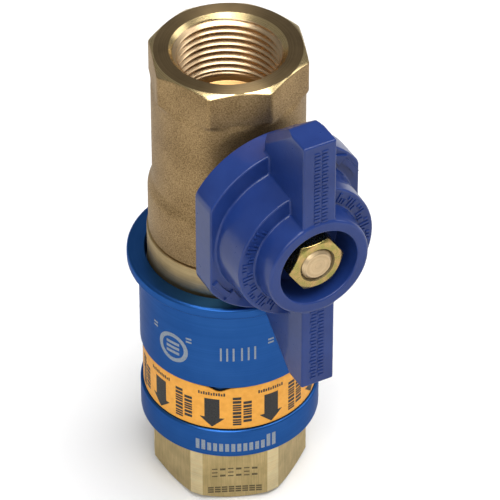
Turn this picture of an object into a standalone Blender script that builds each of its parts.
"""A 3/4 inch gas quick-disconnect coupling with a quarter-turn ball valve in its socket half.

Gas enters at the octagonal top, passes the ball and the shut-off poppet, and leaves by the
plug at the bottom. The flow axis is vertical. The stem points along -Y, towards the handle.
Outlines are in millimetres, as (radius, height) pairs round a piece's own axis.
"""

import math

import bmesh
import bpy
from mathutils import Matrix, Vector

MM = 0.001

# ---------------------------------------------------------------- driving dimensions (mm)
GAP = 0.3                     # clearance between pieces that touch or slide
OUTER_STEPS = 36              # sides of a turned piece that shows
ROUND_STEPS = 24              # sides of a turned piece inside
SMALL_STEPS = 16              # sides of a small turned piece

# heights above the lower edge of the plug's turned corners
TOTAL_HEIGHT = 123.7
OCTAGON_BOTTOM = 114.6
STEM_HEIGHT = 90.5
SHOULDER_TOP = 88.0
SHOULDER_BOTTOM = 84.5
BODY_BOTTOM = 72.5
FLANGE_TOP = 65.4
FLANGE_BOTTOM = 62.4
COLLAR_BOTTOM = 62.1
BAND_TOP = 38.6
BAND_BOTTOM = 24.8
SLEEVE_BOTTOM = 16.5
LOCK_HEIGHT = 30.0            # centre of the locking balls
SOCKET_BOTTOM = 18.6
HEX_TOP = 17.0
PLUG_BOTTOM = -1.15           # the outlet face, below the corner chamfers

# radii and widths of the outside
OCTAGON_FLATS = 35.3
OCTAGON_TURN = math.radians(3.2)  # how the octagon happens to stand to the stem
TOP_FACE_RADIUS = 17.3
BARREL_RADIUS = 18.0
LOWER_BARREL_RADIUS = 19.1
COLLAR_RADIUS = 19.5
FLANGE_RADIUS = 24.4
SLEEVE_RADIUS = 21.6
RIM_RADIUS = 21.7
PLUG_HEX_FLATS = 33.9
PLUG_HEX_RADIUS = 18.7
PLUG_FACE_RADIUS = 16.7       # outer edge of the outlet face

# 3/4 inch tapered pipe thread, as its mean cone
THREAD_MOUTH_RADIUS = 12.6
THREAD_TAPER = 1.0 / 32.0     # radius lost per unit of depth
THREAD_DEPTH = 16.4
MOUTH_CHAMFER = 1.15

# ball and stem
VALVE_BALL_RADIUS = 12.5
VALVE_BORE_RADIUS = 8.5
THROAT_RADIUS = 9.5
CAVITY_RADIUS = 13.3
SEAT_POCKET_RADIUS = 12.6
STEM_RADIUS = 4.0
STEM_HEAD_RADIUS = 6.0
STEM_END = 43.1               # distance of the stem's end from the flow axis
TANG_HALF_LENGTH = 4.9
BOSS_RADIUS = 9.2
BOSS_END = 24.3

# handle, with distances measured from the flow axis along the stem
DISC_BACK = 19.9
DISC_FRONT = 27.4
STEP_FRONT = 37.4
HUB_FRONT = 43.8
WING_FRONT = 43.4
DISC_RADIUS = 22.7
DISC_FLAT = 19.3
STEP_FOOT_RADIUS = 17.9
STEP_RADIUS = 17.4
HUB_FOOT_RADIUS = 13.3
HUB_RADIUS = 12.8
RECESS_RADIUS = 10.0
RECESS_FLOOR = 34.0
BACK_POCKET_RADIUS = 10.5
BACK_POCKET_FLOOR = 25.2
WING_HALF_WIDTH = 4.2
WING_LENGTH = 35.3
WING_TIP_BACK = 35.1           # back of the wing at its tip
WING_FOOT_BACK = 25.0          # back of the wing beside the disc, clear of the sleeve's flange
WING_FOOT_LENGTH = 26.9        # where its back starts to slope
STOP_RADIUS = 14.2            # distance of the stop lug from the stem
STOP_PIN_RADIUS = 1.8
STOP_PIN_END = 22.6
NUT_FLATS = 12.4
NUT_TURN = math.radians(4)

# socket, sleeve and plug
SOCKET_BORE_RADIUS = 13.9
SOCKET_TUBE_RADIUS = 16.8
SPIGOT_RADIUS = 15.2
LAND_RADIUS = 17.15
RECESS_SLEEVE_RADIUS = 19.0
SLEEVE_BORE_RADIUS = 20.0
LEDGE_HEIGHT = 49.7
NOSE_RADIUS = 13.6
NOSE_TOP = 45.5
PLUG_BORE_RADIUS = 8.8
LOCKING_BALLS = 8
LOCKING_BALL_RADIUS = 2.4
LOCKING_BALL_CIRCLE = 14.6
PLUG_TURN = math.radians(-23.9)   # how the hexagon happens to stand to the stem

# The handle reaches past the flange in -Y, so the flow axis stands off the box's centre.
FLOW_AXIS_Y = (HUB_FRONT - FLANGE_RADIUS) / 2

# ---------------------------------------------------------------- materials
BRASS_FORGED = ("forged_brass", (0.36, 0.235, 0.095), 0.48, 0.9)
BRASS_TURNED = ("turned_brass", (0.60, 0.44, 0.18), 0.27, 1.0)
ZINC_BLUE = ("blue_handle_enamel", (0.018, 0.045, 0.26), 0.28, 0.0)
ANODISED_BLUE = ("blue_anodised_aluminium", (0.02, 0.13, 0.50), 0.30, 0.9)
LABEL_ORANGE = ("orange_label", (0.93, 0.38, 0.03), 0.45, 0.0)
NUT_YELLOW = ("yellow_zinc_plate", (0.66, 0.50, 0.16), 0.24, 1.0)
STEEL = ("bright_steel", (0.62, 0.63, 0.65), 0.22, 1.0)
SPRING_STEEL = ("spring_steel", (0.45, 0.46, 0.48), 0.30, 1.0)
SEAT_PLASTIC = ("white_seat_plastic", (0.86, 0.86, 0.83), 0.40, 0.0)
SEAL_RUBBER = ("black_seal_rubber", (0.02, 0.02, 0.02), 0.60, 0.0)


def material(recipe):
    """The material of this recipe, made once."""
    name, colour, roughness, metallic = recipe
    made = bpy.data.materials.get(name)
    if made:
        return made
    made = bpy.data.materials.new(name)
    made.use_nodes = True
    shader = made.node_tree.nodes["Principled BSDF"]
    shader.inputs["Base Color"].default_value = (*colour, 1.0)
    shader.inputs["Roughness"].default_value = roughness
    shader.inputs["Metallic"].default_value = metallic
    made.diffuse_color = (*colour, 1.0)
    return made


def clear_scene():
    for old in list(bpy.data.objects):
        bpy.data.objects.remove(old, do_unlink=True)


def axis_empty(name, place, turn=(0.0, 0.0, 0.0)):
    """An empty on a joint's axis. Pieces parented to it are drawn round its local Z."""
    empty = bpy.data.objects.new(name, None)
    empty.location = Vector(place) * MM
    empty.rotation_euler = turn
    empty.empty_display_size = 0.01
    bpy.context.collection.objects.link(empty)
    return empty


def finish(bm, name, parent, recipe=None):
    """Turns a bmesh in millimetres into a named, smooth-shaded object under its axis empty."""
    bmesh.ops.remove_doubles(bm, verts=bm.verts, dist=1e-5)
    bmesh.ops.recalc_face_normals(bm, faces=bm.faces)
    bmesh.ops.scale(bm, vec=(MM, MM, MM), verts=bm.verts)
    mesh = bpy.data.meshes.new(name)
    bm.to_mesh(mesh)
    bm.free()
    mesh.shade_smooth()
    mesh.set_sharp_from_angle(angle=math.radians(32))
    piece = bpy.data.objects.new(name, mesh)
    piece.parent = parent
    bpy.context.collection.objects.link(piece)
    if recipe:
        mesh.materials.append(material(recipe))
    else:
        piece.hide_render = True
        piece.display_type = "WIRE"
    return piece


# ---------------------------------------------------------------- shapes, as bmeshes in mm
def turned(outline, steps=ROUND_STEPS):
    """A closed (radius, height) outline turned once round Z."""
    bm = bmesh.new()
    ring = [bm.verts.new((radius, 0.0, height)) for radius, height in outline]
    for here, there in zip(ring, ring[1:] + ring[:1]):
        bm.edges.new((here, there))
    bmesh.ops.spin(
        bm,
        geom=bm.verts[:] + bm.edges[:],
        cent=(0, 0, 0),
        axis=(0, 0, 1),
        angle=math.tau,
        steps=steps,
        use_merge=True,
    )
    bmesh.ops.remove_doubles(bm, verts=bm.verts, dist=1e-5)
    loose = [edge for edge in bm.edges if not edge.link_faces]
    bmesh.ops.delete(bm, geom=loose, context="EDGES")
    return bm


def prism(corners, bottom, top):
    """A flat outline of (x, y) corners extruded from one height to another."""
    bm = bmesh.new()
    face = bm.faces.new([bm.verts.new((x, y, bottom)) for x, y in corners])
    grown = bmesh.ops.extrude_face_region(bm, geom=[face])["geom"]
    lifted = [item for item in grown if isinstance(item, bmesh.types.BMVert)]
    bmesh.ops.translate(bm, verts=lifted, vec=(0, 0, top - bottom))
    return bm


def box(low, high):
    """A box between two opposite corners."""
    corners = [(low[0], low[1]), (high[0], low[1]), (high[0], high[1]), (low[0], high[1])]
    return prism(corners, low[2], high[2])


def polygon(sides, flats, turn=0.0):
    """The corners of a regular polygon of this width across flats."""
    radius = flats / 2 / math.cos(math.pi / sides)
    angles = [turn + math.tau * step / sides for step in range(sides)]
    return [(radius * math.cos(angle), radius * math.sin(angle)) for angle in angles]


def moved(bm, matrix):
    bmesh.ops.transform(bm, matrix=matrix, verts=bm.verts)
    return bm


def gathered(shapes):
    """Several bmeshes in one, for a cutter with many teeth."""
    whole = bmesh.new()
    for bm in shapes:
        mesh = bpy.data.meshes.new("gathered")
        bm.to_mesh(mesh)
        bm.free()
        whole.from_mesh(mesh)
        bpy.data.meshes.remove(mesh)
    return whole


def seal_ring(middle_radius, wire_radius, height, steps=ROUND_STEPS, sides=6):
    """A ring of round section, such as an O-ring."""
    outline = []
    for side in range(sides):
        angle = math.tau * (side + 0.5) / sides
        radius = middle_radius + wire_radius * math.cos(angle)
        outline.append((radius, height + wire_radius * math.sin(angle)))
    return turned(outline, steps)


def split_ring(inner, outer, bottom, top, gap_degrees, steps=ROUND_STEPS):
    """A flat ring with a gap in it, such as a snap ring."""
    half_gap = math.radians(gap_degrees) / 2
    angles = [half_gap + (math.tau - 2 * half_gap) * step / steps for step in range(steps + 1)]
    outside = [(outer * math.cos(angle), outer * math.sin(angle)) for angle in angles]
    inside = [(inner * math.cos(angle), inner * math.sin(angle)) for angle in reversed(angles)]
    return prism(outside + inside, bottom, top)


def coil(name, parent, recipe, middle_radius, wire_radius, bottom, top, turns, steps=20):
    """A compression spring: a round wire along a helix."""
    curve = bpy.data.curves.new(name, "CURVE")
    curve.dimensions = "3D"
    curve.bevel_depth = wire_radius * MM
    curve.bevel_resolution = 1
    curve.use_fill_caps = True
    count = int(turns * steps)
    low, high = bottom + wire_radius, top - wire_radius
    spline = curve.splines.new("POLY")
    spline.points.add(count)
    for step, point in enumerate(spline.points):
        angle = math.tau * turns * step / count
        x = middle_radius * math.cos(angle) * MM
        y = middle_radius * math.sin(angle) * MM
        point.co = (x, y, (low + (high - low) * step / count) * MM, 1.0)
    piece = bpy.data.objects.new(name, curve)
    piece.parent = parent
    curve.materials.append(material(recipe))
    bpy.context.collection.objects.link(piece)
    return piece


# ---------------------------------------------------------------- joining and cutting
def boolean(target, tool, operation):
    step = target.modifiers.new(tool.name, "BOOLEAN")
    step.operation = operation
    step.solver = "EXACT"
    step.object = tool


def cut(target, bm, name):
    boolean(target, finish(bm, name, target.parent), "DIFFERENCE")


def join(target, bm, name):
    boolean(target, finish(bm, name, target.parent), "UNION")


def keep(target, bm, name):
    boolean(target, finish(bm, name, target.parent), "INTERSECT")


def thread_bore(mouth, inward):
    """The cutter outline of a tapered pipe thread, from its mouth face inwards (inward is -1 or 1)."""
    over = 1.0
    chamfer_end = mouth + inward * MOUTH_CHAMFER
    inner_radius = THREAD_MOUTH_RADIUS - THREAD_DEPTH * THREAD_TAPER
    return [
        (0.0, mouth - inward * over),
        (THREAD_MOUTH_RADIUS + MOUTH_CHAMFER + over, mouth - inward * over),
        (THREAD_MOUTH_RADIUS, chamfer_end),
        (inner_radius, mouth + inward * THREAD_DEPTH),
    ]


# ---------------------------------------------------------------- valve half
def make_valve_body(flow, stem):
    """The forging: barrel, octagon, stem boss, stop lug and all its bores."""
    barrel = [
        (0.0, BODY_BOTTOM),
        (LOWER_BARREL_RADIUS - 0.3, BODY_BOTTOM),
        (LOWER_BARREL_RADIUS, BODY_BOTTOM + 0.3),
        (LOWER_BARREL_RADIUS, SHOULDER_BOTTOM),
        (LOWER_BARREL_RADIUS - 0.35, SHOULDER_BOTTOM + 1.1),
        (BARREL_RADIUS + 0.25, SHOULDER_TOP - 0.8),
        (BARREL_RADIUS, SHOULDER_TOP),
        (BARREL_RADIUS, OCTAGON_BOTTOM - 0.4),
        (BARREL_RADIUS - 0.6, OCTAGON_BOTTOM + 0.2),
        (0.0, OCTAGON_BOTTOM + 0.2),
    ]
    body = finish(turned(barrel, OUTER_STEPS), "valve_body", flow, BRASS_FORGED)

    corner_radius = OCTAGON_FLATS / 2 / math.cos(math.pi / 8)
    slope = math.tan(math.radians(30))
    reach = corner_radius + 2.0
    octagon = finish(
        prism(polygon(8, OCTAGON_FLATS, OCTAGON_TURN), OCTAGON_BOTTOM - 3.0, TOTAL_HEIGHT),
        "octagon",
        flow,
    )
    chamfers = [
        (0.0, OCTAGON_BOTTOM - 2.0),
        (BARREL_RADIUS - 1.0, OCTAGON_BOTTOM - 2.0),
        (BARREL_RADIUS - 1.0, OCTAGON_BOTTOM - 0.8),
        (reach, OCTAGON_BOTTOM - 0.8 + (reach - BARREL_RADIUS + 1.0) * slope),
        (reach, TOTAL_HEIGHT - (reach - TOP_FACE_RADIUS) * slope),
        (TOP_FACE_RADIUS, TOTAL_HEIGHT),
        (0.0, TOTAL_HEIGHT),
    ]
    keep(octagon, turned(chamfers, OUTER_STEPS), "octagon_chamfers")
    boolean(body, octagon, "UNION")

    boss = [(0.0, 6.0), (BOSS_RADIUS, 6.0), (BOSS_RADIUS, BOSS_END - 0.5)]
    boss += [(BOSS_RADIUS - 0.5, BOSS_END), (0.0, BOSS_END)]
    boolean(body, finish(turned(boss, ROUND_STEPS), "stem_boss", stem), "UNION")
    lug = [(0.0, 14.0), (STOP_PIN_RADIUS, 14.0), (STOP_PIN_RADIUS, STOP_PIN_END), (0.0, STOP_PIN_END)]
    lug = moved(turned(lug, SMALL_STEPS), Matrix.Translation((0.0, STOP_RADIUS, 0.0)))
    boolean(body, finish(lug, "stop_lug", stem), "UNION")

    cavity_top = STEM_HEIGHT + 5.5
    pocket_top = STEM_HEIGHT + 11.5
    counterbore = SPIGOT_RADIUS + GAP
    spigot_top = STEM_HEIGHT - 6.2
    bore = thread_bore(TOTAL_HEIGHT, -1) + [
        (11.3, TOTAL_HEIGHT - THREAD_DEPTH - 1.2),
        (11.3, pocket_top + 2.2),
        (THROAT_RADIUS, pocket_top + 1.4),
        (THROAT_RADIUS, pocket_top),
        (SEAT_POCKET_RADIUS, pocket_top),
        (SEAT_POCKET_RADIUS, cavity_top),
        (CAVITY_RADIUS, cavity_top),
        (CAVITY_RADIUS, spigot_top),
        (counterbore, spigot_top),
        (counterbore, BODY_BOTTOM - 1.0),
        (0.0, BODY_BOTTOM - 1.0),
    ]
    cut(body, turned(bore, OUTER_STEPS), "body_bore")
    stem_bore = [
        (0.0, 4.0),
        (STEM_HEAD_RADIUS + 0.4, 4.0),
        (STEM_HEAD_RADIUS + 0.4, 15.9),
        (STEM_RADIUS + GAP, 15.9),
        (STEM_RADIUS + GAP, 18.0),
        (6.6, 18.0),
        (6.6, BOSS_END + 1.0),
        (0.0, BOSS_END + 1.0),
    ]
    boolean(body, finish(turned(stem_bore, SMALL_STEPS), "stem_bore", stem), "DIFFERENCE")


def seat_outline(side):
    """A ball seat's outline above (side 1) or below (side -1) the ball."""
    face = VALVE_BALL_RADIUS + 0.25
    near = math.acos((THROAT_RADIUS - 0.2) / face)
    far = math.acos((SEAT_POCKET_RADIUS - 1.2) / face)
    contact = [near + (far - near) * step / 3 for step in range(4)]
    rim = SEAT_POCKET_RADIUS - GAP
    points = [(face * math.cos(angle), face * math.sin(angle)) for angle in contact]
    points += [(rim, points[-1][1]), (rim, 11.2), (THROAT_RADIUS - 0.2, 11.2)]
    return [(radius, STEM_HEIGHT + side * height) for radius, height in points]


def make_valve_parts(flow, stem, handle_axis):
    """Seats, seals and packing that stay, and the ball and stem that turn with the handle."""
    finish(turned(seat_outline(1)), "inlet_seat", flow, SEAT_PLASTIC)
    finish(turned(seat_outline(-1)), "outlet_seat", flow, SEAT_PLASTIC)
    finish(seal_ring(14.65, 0.62, 75.1), "body_oring", flow, SEAL_RUBBER)

    packing = [(STEM_RADIUS + GAP, 18.3), (6.3, 18.3), (6.3, 20.8), (STEM_RADIUS + GAP, 20.8)]
    finish(turned(packing, SMALL_STEPS), "stem_packing", stem, SEAT_PLASTIC)
    gland = [(STEM_RADIUS + GAP, 21.1), (6.3, 21.1), (6.3, 24.0), (STEM_RADIUS + GAP, 24.0)]
    gland_ring = finish(turned(gland, SMALL_STEPS), "gland_ring", stem, BRASS_TURNED)
    cut(gland_ring, box((-8.0, -0.8, 22.9), (8.0, 0.8, 25.0)), "gland_slot")

    ball = bmesh.new()
    bmesh.ops.create_uvsphere(ball, u_segments=24, v_segments=14, radius=VALVE_BALL_RADIUS)
    ball = finish(ball, "valve_ball", handle_axis, BRASS_TURNED)
    bore = [(0.0, -15.0), (VALVE_BORE_RADIUS, -15.0), (VALVE_BORE_RADIUS, 15.0), (0.0, 15.0)]
    along_flow = Matrix.Rotation(math.radians(90), 4, "X")
    cut(ball, moved(turned(bore), along_flow), "ball_bore")
    cut(ball, box((-7.2, -2.6, 9.7), (7.2, 2.6, 14.0)), "ball_slot")

    shaft = [
        (0.0, 12.9),
        (STEM_HEAD_RADIUS, 12.9),
        (STEM_HEAD_RADIUS, 14.65),
        (STEM_RADIUS, 14.65),
        (STEM_RADIUS, 16.1),
        (3.25, 16.1),
        (3.25, 17.7),
        (STEM_RADIUS, 17.7),
        (STEM_RADIUS, STEM_END - 0.7),
        (STEM_RADIUS - 0.7, STEM_END),
        (0.0, STEM_END),
    ]
    shaft = finish(turned(shaft, SMALL_STEPS), "stem", handle_axis, BRASS_TURNED)
    join(shaft, box((-TANG_HALF_LENGTH, -2.3, 10.0), (TANG_HALF_LENGTH, 2.3, 13.4)), "stem_tang")
    for side in (-1, 1):
        near, far = sorted((side * 3.0, side * 6.0))
        cut(shaft, box((near, -6.0, 25.2), (far, 6.0, RECESS_FLOOR + 1.0)), f"stem_flat_{side + 2}")
    washer = [
        (STEM_RADIUS + GAP, 14.95),
        (STEM_HEAD_RADIUS, 14.95),
        (STEM_HEAD_RADIUS, 15.6),
        (STEM_RADIUS + GAP, 15.6),
    ]
    finish(turned(washer, SMALL_STEPS), "stem_washer", handle_axis, SEAT_PLASTIC)
    finish(seal_ring(3.8, 0.42, 16.9, SMALL_STEPS, 6), "stem_oring", handle_axis, SEAL_RUBBER)


def wing_outline():
    """The wing seen from its side, as (distance from the stem, distance from the flow axis)."""
    half = [
        (WING_LENGTH - 0.7, WING_FRONT),
        (WING_LENGTH, WING_FRONT - 0.7),
        (WING_LENGTH, WING_TIP_BACK + 0.3),
        (WING_LENGTH - 0.3, WING_TIP_BACK - 0.35),
        (WING_FOOT_LENGTH, WING_FOOT_BACK),
        (DISC_RADIUS - 0.9, WING_FOOT_BACK),
    ]
    return half + [(-across, depth) for across, depth in reversed(half)]


def make_handle(handle_axis):
    """Cam disc with two flats, stepped boss, wing, nut recess, back pocket and stop slot."""
    stepped = [
        (0.0, DISC_BACK),
        (DISC_RADIUS - 0.3, DISC_BACK),
        (DISC_RADIUS, DISC_BACK + 0.3),
        (DISC_RADIUS, DISC_FRONT - 0.4),
        (DISC_RADIUS - 0.4, DISC_FRONT),
        (STEP_FOOT_RADIUS, DISC_FRONT),
        (STEP_RADIUS, STEP_FRONT - 0.4),
        (STEP_RADIUS - 0.4, STEP_FRONT),
        (HUB_FOOT_RADIUS, STEP_FRONT),
        (HUB_RADIUS, HUB_FRONT - 0.9),
        (HUB_RADIUS - 0.9, HUB_FRONT),
        (0.0, HUB_FRONT),
    ]
    handle = finish(turned(stepped, OUTER_STEPS), "handle", handle_axis, ZINC_BLUE)
    keep(handle, box((-DISC_FLAT, -30.0, 10.0), (DISC_FLAT, 30.0, 50.0)), "disc_flats")

    side_to_front = Matrix(((0, 0, 1, 0), (1, 0, 0, 0), (0, 1, 0, 0), (0, 0, 0, 1)))
    wing = prism(wing_outline(), -WING_HALF_WIDTH, WING_HALF_WIDTH)
    join(handle, moved(wing, side_to_front), "wing")

    recess = [
        (0.0, RECESS_FLOOR),
        (RECESS_RADIUS - 0.2, RECESS_FLOOR),
        (RECESS_RADIUS - 0.1, HUB_FRONT - 0.8),
        (RECESS_RADIUS + 0.9, HUB_FRONT + 0.2),
        (RECESS_RADIUS + 0.9, HUB_FRONT + 2.0),
        (0.0, HUB_FRONT + 2.0),
    ]
    cut(handle, turned(recess, OUTER_STEPS), "nut_recess")
    pocket = [(0.0, DISC_BACK - 2.0), (BACK_POCKET_RADIUS, DISC_BACK - 2.0)]
    pocket += [(BACK_POCKET_RADIUS, BACK_POCKET_FLOOR), (0.0, BACK_POCKET_FLOOR)]
    cut(handle, turned(pocket), "boss_pocket")

    hole = [(STEM_RADIUS + GAP) * Vector((math.cos(a), math.sin(a))) for a in round_angles(SMALL_STEPS)]
    hole = [(max(-3.3, min(3.3, point.x)), point.y) for point in hole]
    hole = [here for here, there in zip(hole, hole[1:] + hole[:1]) if here != there]
    cut(handle, prism(hole, BACK_POCKET_FLOOR - 2.0, RECESS_FLOOR + 2.0), "stem_hole")
    cut(handle, stop_slot(), "stop_slot")


def round_angles(count):
    return [math.tau * (step + 0.5) / count for step in range(count)]


def stop_slot(steps=9):
    """The quarter-turn slot in the handle's back that the body's stop lug runs in."""
    clear = STOP_PIN_RADIUS + 0.35
    spare = math.asin(clear / STOP_RADIUS)
    first = math.radians(90) - spare
    last = math.radians(180) + spare
    angles = [first + (last - first) * step / steps for step in range(steps + 1)]
    outer = STOP_RADIUS + clear
    inner = STOP_RADIUS - clear
    outside = [(outer * math.cos(angle), outer * math.sin(angle)) for angle in angles]
    inside = [(inner * math.cos(angle), inner * math.sin(angle)) for angle in reversed(angles)]
    return prism(outside + inside, DISC_BACK - 2.0, STOP_PIN_END + 0.6)


def make_handle_fasteners(handle_axis):
    washer = split_ring(4.4, 6.6, RECESS_FLOOR + GAP, RECESS_FLOOR + 1.6, 14, SMALL_STEPS)
    finish(washer, "lock_washer", handle_axis, SPRING_STEEL)

    bottom = RECESS_FLOOR + 1.9
    top = STEM_END - 0.3
    corner = NUT_FLATS / 2 / math.cos(math.pi / 6)
    hexagon = prism(polygon(6, NUT_FLATS, NUT_TURN), bottom, top)
    nut = finish(hexagon, "handle_nut", handle_axis, NUT_YELLOW)
    slope = math.tan(math.radians(30))
    drop = (corner + 1.0 - NUT_FLATS / 2 + 0.3) * slope
    chamfers = [
        (0.0, bottom - 1.0),
        (corner + 1.0, bottom - 1.0),
        (corner + 1.0, top - drop),
        (NUT_FLATS / 2 - 0.3, top),
        (0.0, top),
    ]
    keep(nut, turned(chamfers), "nut_chamfers")
    thread = [
        (0.0, bottom - 1.0),
        (STEM_RADIUS + GAP, bottom - 1.0),
        (STEM_RADIUS + GAP, top - 0.4),
        (STEM_RADIUS + 1.7, top + 1.0),
        (0.0, top + 1.0),
    ]
    cut(nut, turned(thread, SMALL_STEPS), "nut_thread")


# ---------------------------------------------------------------- coupling half
def make_socket(flow):
    """The socket: spigot into the forging, visible collar, tube with the locking-ball holes."""
    collar_top = BODY_BOTTOM - GAP
    spigot_top = STEM_HEIGHT - 6.5
    outline = [
        (SOCKET_BORE_RADIUS + 0.8, SOCKET_BOTTOM),
        (SOCKET_TUBE_RADIUS - 0.3, SOCKET_BOTTOM),
        (SOCKET_TUBE_RADIUS, SOCKET_BOTTOM + 0.3),
        (SOCKET_TUBE_RADIUS, 25.8),
        (15.8, 25.8),
        (15.8, 27.4),
        (SOCKET_TUBE_RADIUS, 27.4),
        (SOCKET_TUBE_RADIUS, COLLAR_BOTTOM),
        (COLLAR_RADIUS, COLLAR_BOTTOM),
        (COLLAR_RADIUS, collar_top - 0.3),
        (COLLAR_RADIUS - 0.3, collar_top),
        (SPIGOT_RADIUS, collar_top),
        (SPIGOT_RADIUS, 74.0),
        (13.9, 74.0),
        (13.9, 76.2),
        (SPIGOT_RADIUS, 76.2),
        (SPIGOT_RADIUS, spigot_top),
        (SEAT_POCKET_RADIUS, spigot_top),
        (SEAT_POCKET_RADIUS, STEM_HEIGHT - 11.5),
        (THROAT_RADIUS, STEM_HEIGHT - 11.5),
        (THROAT_RADIUS, 68.0),
        (SOCKET_BORE_RADIUS, 68.0),
        (SOCKET_BORE_RADIUS, 47.9),
        (14.8, 47.9),
        (14.8, 46.4),
        (SOCKET_BORE_RADIUS, 46.4),
        (SOCKET_BORE_RADIUS, 41.4),
        (15.4, 41.4),
        (15.4, 39.2),
        (SOCKET_BORE_RADIUS, 39.2),
        (SOCKET_BORE_RADIUS, SOCKET_BOTTOM + 0.8),
    ]
    socket = finish(turned(outline), "coupling_socket", flow, BRASS_TURNED)
    cut(socket, gathered([ball_hole(angle) for angle in locking_angles()]), "locking_ball_holes")

    ring = split_ring(16.1, 18.4, 26.1, 27.1, 22)
    finish(ring, "sleeve_ring", flow, SPRING_STEEL)
    finish(seal_ring(14.55, 0.6, 40.3), "plug_oring", flow, SEAL_RUBBER)


def locking_angles():
    return [math.tau * (step + 0.5) / LOCKING_BALLS for step in range(LOCKING_BALLS)]


def ball_hole(angle):
    """A radial hole that narrows inwards, so that its ball can't drop into the bore."""
    start, end = SOCKET_BORE_RADIUS - 1.5, SOCKET_TUBE_RADIUS + 1.5
    waist, taper = 2.37, 0.15
    narrow = waist + (start - SOCKET_BORE_RADIUS) * taper
    wide = waist + (end - SOCKET_BORE_RADIUS) * taper
    cone = turned([(0.0, start), (narrow, start), (wide, end), (0.0, end)], 12)
    outward = Matrix.Rotation(math.radians(90), 4, "Y")
    lifted = Matrix.Translation((0.0, 0.0, LOCK_HEIGHT))
    return moved(cone, lifted @ Matrix.Rotation(angle, 4, "Z") @ outward)


def make_locking_balls(flow):
    for number, angle in enumerate(locking_angles(), 1):
        bm = bmesh.new()
        bmesh.ops.create_uvsphere(bm, u_segments=10, v_segments=7, radius=LOCKING_BALL_RADIUS)
        ball = finish(bm, f"locking_ball_{number}", flow, STEEL)
        out = LOCKING_BALL_CIRCLE * MM
        ball.location = (out * math.cos(angle), out * math.sin(angle), LOCK_HEIGHT * MM)


def make_poppet_set(flow):
    """The shut-off poppet, held open by the plug, with its seat, seal, spring and guide."""
    poppet = [
        (8.9, 45.9),
        (9.8, 45.9),
        (9.8, 54.6),
        (11.4, 55.6),
        (11.4, 56.5),
        (10.2, 56.5),
        (10.2, 58.1),
        (11.4, 58.1),
        (11.4, 59.0),
        (5.0, 59.0),
        (5.0, 60.6),
        (2.5, 60.6),
        (2.5, 70.0),
        (0.0, 70.0),
        (0.0, 55.6),
        (8.9, 55.6),
    ]
    poppet = finish(turned(poppet), "poppet", flow, BRASS_TURNED)
    windows = [box((-4.6, -14.0, 49.0), (4.6, 14.0, 54.4)), box((-14.0, -4.6, 49.0), (14.0, 4.6, 54.4))]
    for number, window in enumerate(windows, 1):
        cut(poppet, window, f"poppet_window_{number}")
    finish(seal_ring(11.0, 0.6, 57.3), "poppet_seal", flow, SEAL_RUBBER)
    coil("poppet_spring", flow, SPRING_STEEL, 6.6, 0.5, 59.4, 64.2, 2.75, 12)

    seat = [(10.3, 48.2), (13.6, 48.2), (13.6, 51.2), (11.3, 51.2), (10.3, 50.2)]
    finish(turned(seat), "poppet_seat", flow, BRASS_TURNED)
    finish(split_ring(12.4, 14.5, 46.7, 47.6, 18), "poppet_snap_ring", flow, SPRING_STEEL)

    rim = [(11.2, 64.5), (13.6, 64.5), (13.6, 67.7), (11.2, 67.7)]
    guide = finish(turned(rim), "poppet_guide", flow, BRASS_TURNED)
    join(guide, turned([(0.0, 64.5), (4.9, 64.5), (4.9, 67.7), (0.0, 67.7)], SMALL_STEPS), "guide_hub")
    for number in range(3):
        turn = Matrix.Rotation(math.tau * number / 3, 4, "Z")
        join(guide, moved(box((3.0, -1.3, 64.6), (12.4, 1.3, 67.6)), turn), f"guide_arm_{number + 1}")
    cut(guide, turned([(0.0, 62.0), (2.85, 62.0), (2.85, 70.0), (0.0, 70.0)], SMALL_STEPS), "guide_hole")


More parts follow.
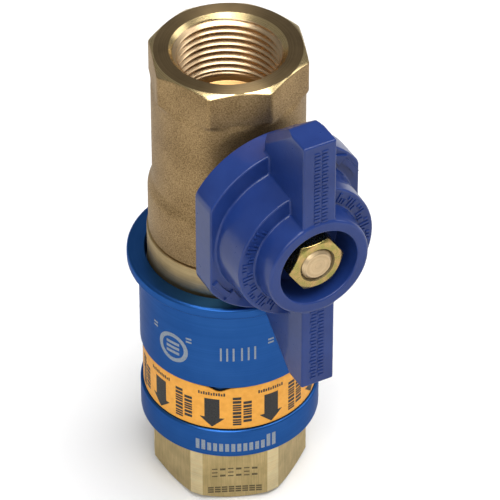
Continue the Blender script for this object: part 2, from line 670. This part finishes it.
def make_sleeve(sleeve_axis, carrier_axis):
    """The sleeve with its band, and the spring and washer that it turns on."""
    groove = 20.4
    outline = [
        (SLEEVE_BORE_RADIUS, FLANGE_TOP),
        (FLANGE_RADIUS - 0.9, FLANGE_TOP),
        (FLANGE_RADIUS - 0.25, FLANGE_TOP - 0.3),
        (FLANGE_RADIUS, FLANGE_TOP - 0.9),
        (FLANGE_RADIUS, FLANGE_BOTTOM + 0.8),
        (FLANGE_RADIUS - 0.8, FLANGE_BOTTOM),
        (SLEEVE_RADIUS + 0.7, FLANGE_BOTTOM),
        (SLEEVE_RADIUS, FLANGE_BOTTOM - 0.7),
        (SLEEVE_RADIUS, BAND_TOP + 0.3),
        (SLEEVE_RADIUS - 0.3, BAND_TOP),
        (groove, BAND_TOP),
        (groove, BAND_BOTTOM),
        (RIM_RADIUS - 0.6, BAND_BOTTOM),
        (RIM_RADIUS, BAND_BOTTOM - 0.6),
        (RIM_RADIUS, SLEEVE_BOTTOM + 0.5),
        (RIM_RADIUS - 0.5, SLEEVE_BOTTOM),
        (RECESS_SLEEVE_RADIUS, SLEEVE_BOTTOM),
        (RECESS_SLEEVE_RADIUS, 27.4),
        (LAND_RADIUS, 27.4),
        (LAND_RADIUS, LEDGE_HEIGHT),
        (SLEEVE_BORE_RADIUS, LEDGE_HEIGHT),
    ]
    finish(turned(outline, OUTER_STEPS), "locking_sleeve", sleeve_axis, ANODISED_BLUE)
    band = [
        (groove + GAP, BAND_BOTTOM + GAP),
        (groove + 0.6, BAND_BOTTOM + GAP),
        (groove + 0.6, BAND_TOP - GAP),
        (groove + GAP, BAND_TOP - GAP),
    ]
    finish(turned(band, OUTER_STEPS), "flow_label", sleeve_axis, LABEL_ORANGE)

    washer_bottom = COLLAR_BOTTOM - 1.1
    washer = [
        (LAND_RADIUS, washer_bottom),
        (SLEEVE_BORE_RADIUS - GAP, washer_bottom),
        (SLEEVE_BORE_RADIUS - GAP, COLLAR_BOTTOM - GAP),
        (LAND_RADIUS, COLLAR_BOTTOM - GAP),
    ]
    finish(turned(washer), "spring_washer", carrier_axis, STEEL)
    bottom = LEDGE_HEIGHT + GAP
    coil("sleeve_spring", carrier_axis, SPRING_STEEL, 18.5, 0.75, bottom, washer_bottom - GAP, 3.75, 14)


def make_plug(plug_axis):
    """The plug: hexagon with turned corners, nose with the locking groove, threaded outlet."""
    groove_top, groove_bottom = LOCK_HEIGHT + 2.9, LOCK_HEIGHT - 2.9
    nose = [
        (0.0, HEX_TOP - 4.0),
        (PLUG_HEX_FLATS / 2 - 1.5, HEX_TOP - 4.0),
        (PLUG_HEX_FLATS / 2 - 1.5, HEX_TOP + 1.2),
        (NOSE_RADIUS, HEX_TOP + 1.2),
        (NOSE_RADIUS, groove_bottom),
        (NOSE_RADIUS - 1.6, groove_bottom + 1.6),
        (NOSE_RADIUS - 1.6, groove_top - 1.6),
        (NOSE_RADIUS, groove_top),
        (NOSE_RADIUS, NOSE_TOP - 1.0),
        (NOSE_RADIUS - 1.0, NOSE_TOP),
        (0.0, NOSE_TOP),
    ]
    plug = finish(turned(nose, OUTER_STEPS), "outlet_plug", plug_axis, BRASS_TURNED)
    hexagon = finish(
        prism(polygon(6, PLUG_HEX_FLATS, math.pi / 6), PLUG_BOTTOM, HEX_TOP),
        "plug_hexagon",
        plug_axis,
    )
    corners = [
        (0.0, PLUG_BOTTOM),
        (PLUG_FACE_RADIUS, PLUG_BOTTOM),
        (PLUG_HEX_RADIUS, 0.0),
        (PLUG_HEX_RADIUS, HEX_TOP - 1.0),
        (PLUG_HEX_RADIUS - 1.7, HEX_TOP),
        (0.0, HEX_TOP),
    ]
    keep(hexagon, turned(corners, 2 * OUTER_STEPS), "turned_corners")
    boolean(plug, hexagon, "UNION")
    bore = thread_bore(PLUG_BOTTOM, 1) + [
        (PLUG_BORE_RADIUS, PLUG_BOTTOM + THREAD_DEPTH + 1.5),
        (PLUG_BORE_RADIUS, NOSE_TOP + 1.0),
        (0.0, NOSE_TOP + 1.0),
    ]
    cut(plug, turned(bore, OUTER_STEPS), "plug_bore")


def main():
    clear_scene()
    upright = (0.0, FLOW_AXIS_Y, -PLUG_BOTTOM)
    to_front = (math.radians(90), 0.0, 0.0)
    flow = axis_empty("flow_axis", upright)
    stem_place = (0.0, FLOW_AXIS_Y, STEM_HEIGHT - PLUG_BOTTOM)
    stem = axis_empty("stem_axis", stem_place, to_front)
    handle_axis = axis_empty("handle_axis", stem_place, to_front)
    carrier_axis = axis_empty("sleeve_carrier_axis", upright)
    sleeve_axis = axis_empty("sleeve_axis", upright)
    front_turn = (0.0, 0.0, PLUG_TURN - math.radians(90))
    plug_axis = axis_empty("plug_axis", upright, front_turn)

    make_valve_body(flow, stem)
    make_valve_parts(flow, stem, handle_axis)
    make_handle(handle_axis)
    make_handle_fasteners(handle_axis)
    make_socket(flow)
    make_locking_balls(flow)
    make_poppet_set(flow)
    make_sleeve(sleeve_axis, carrier_axis)
    make_plug(plug_axis)


main()
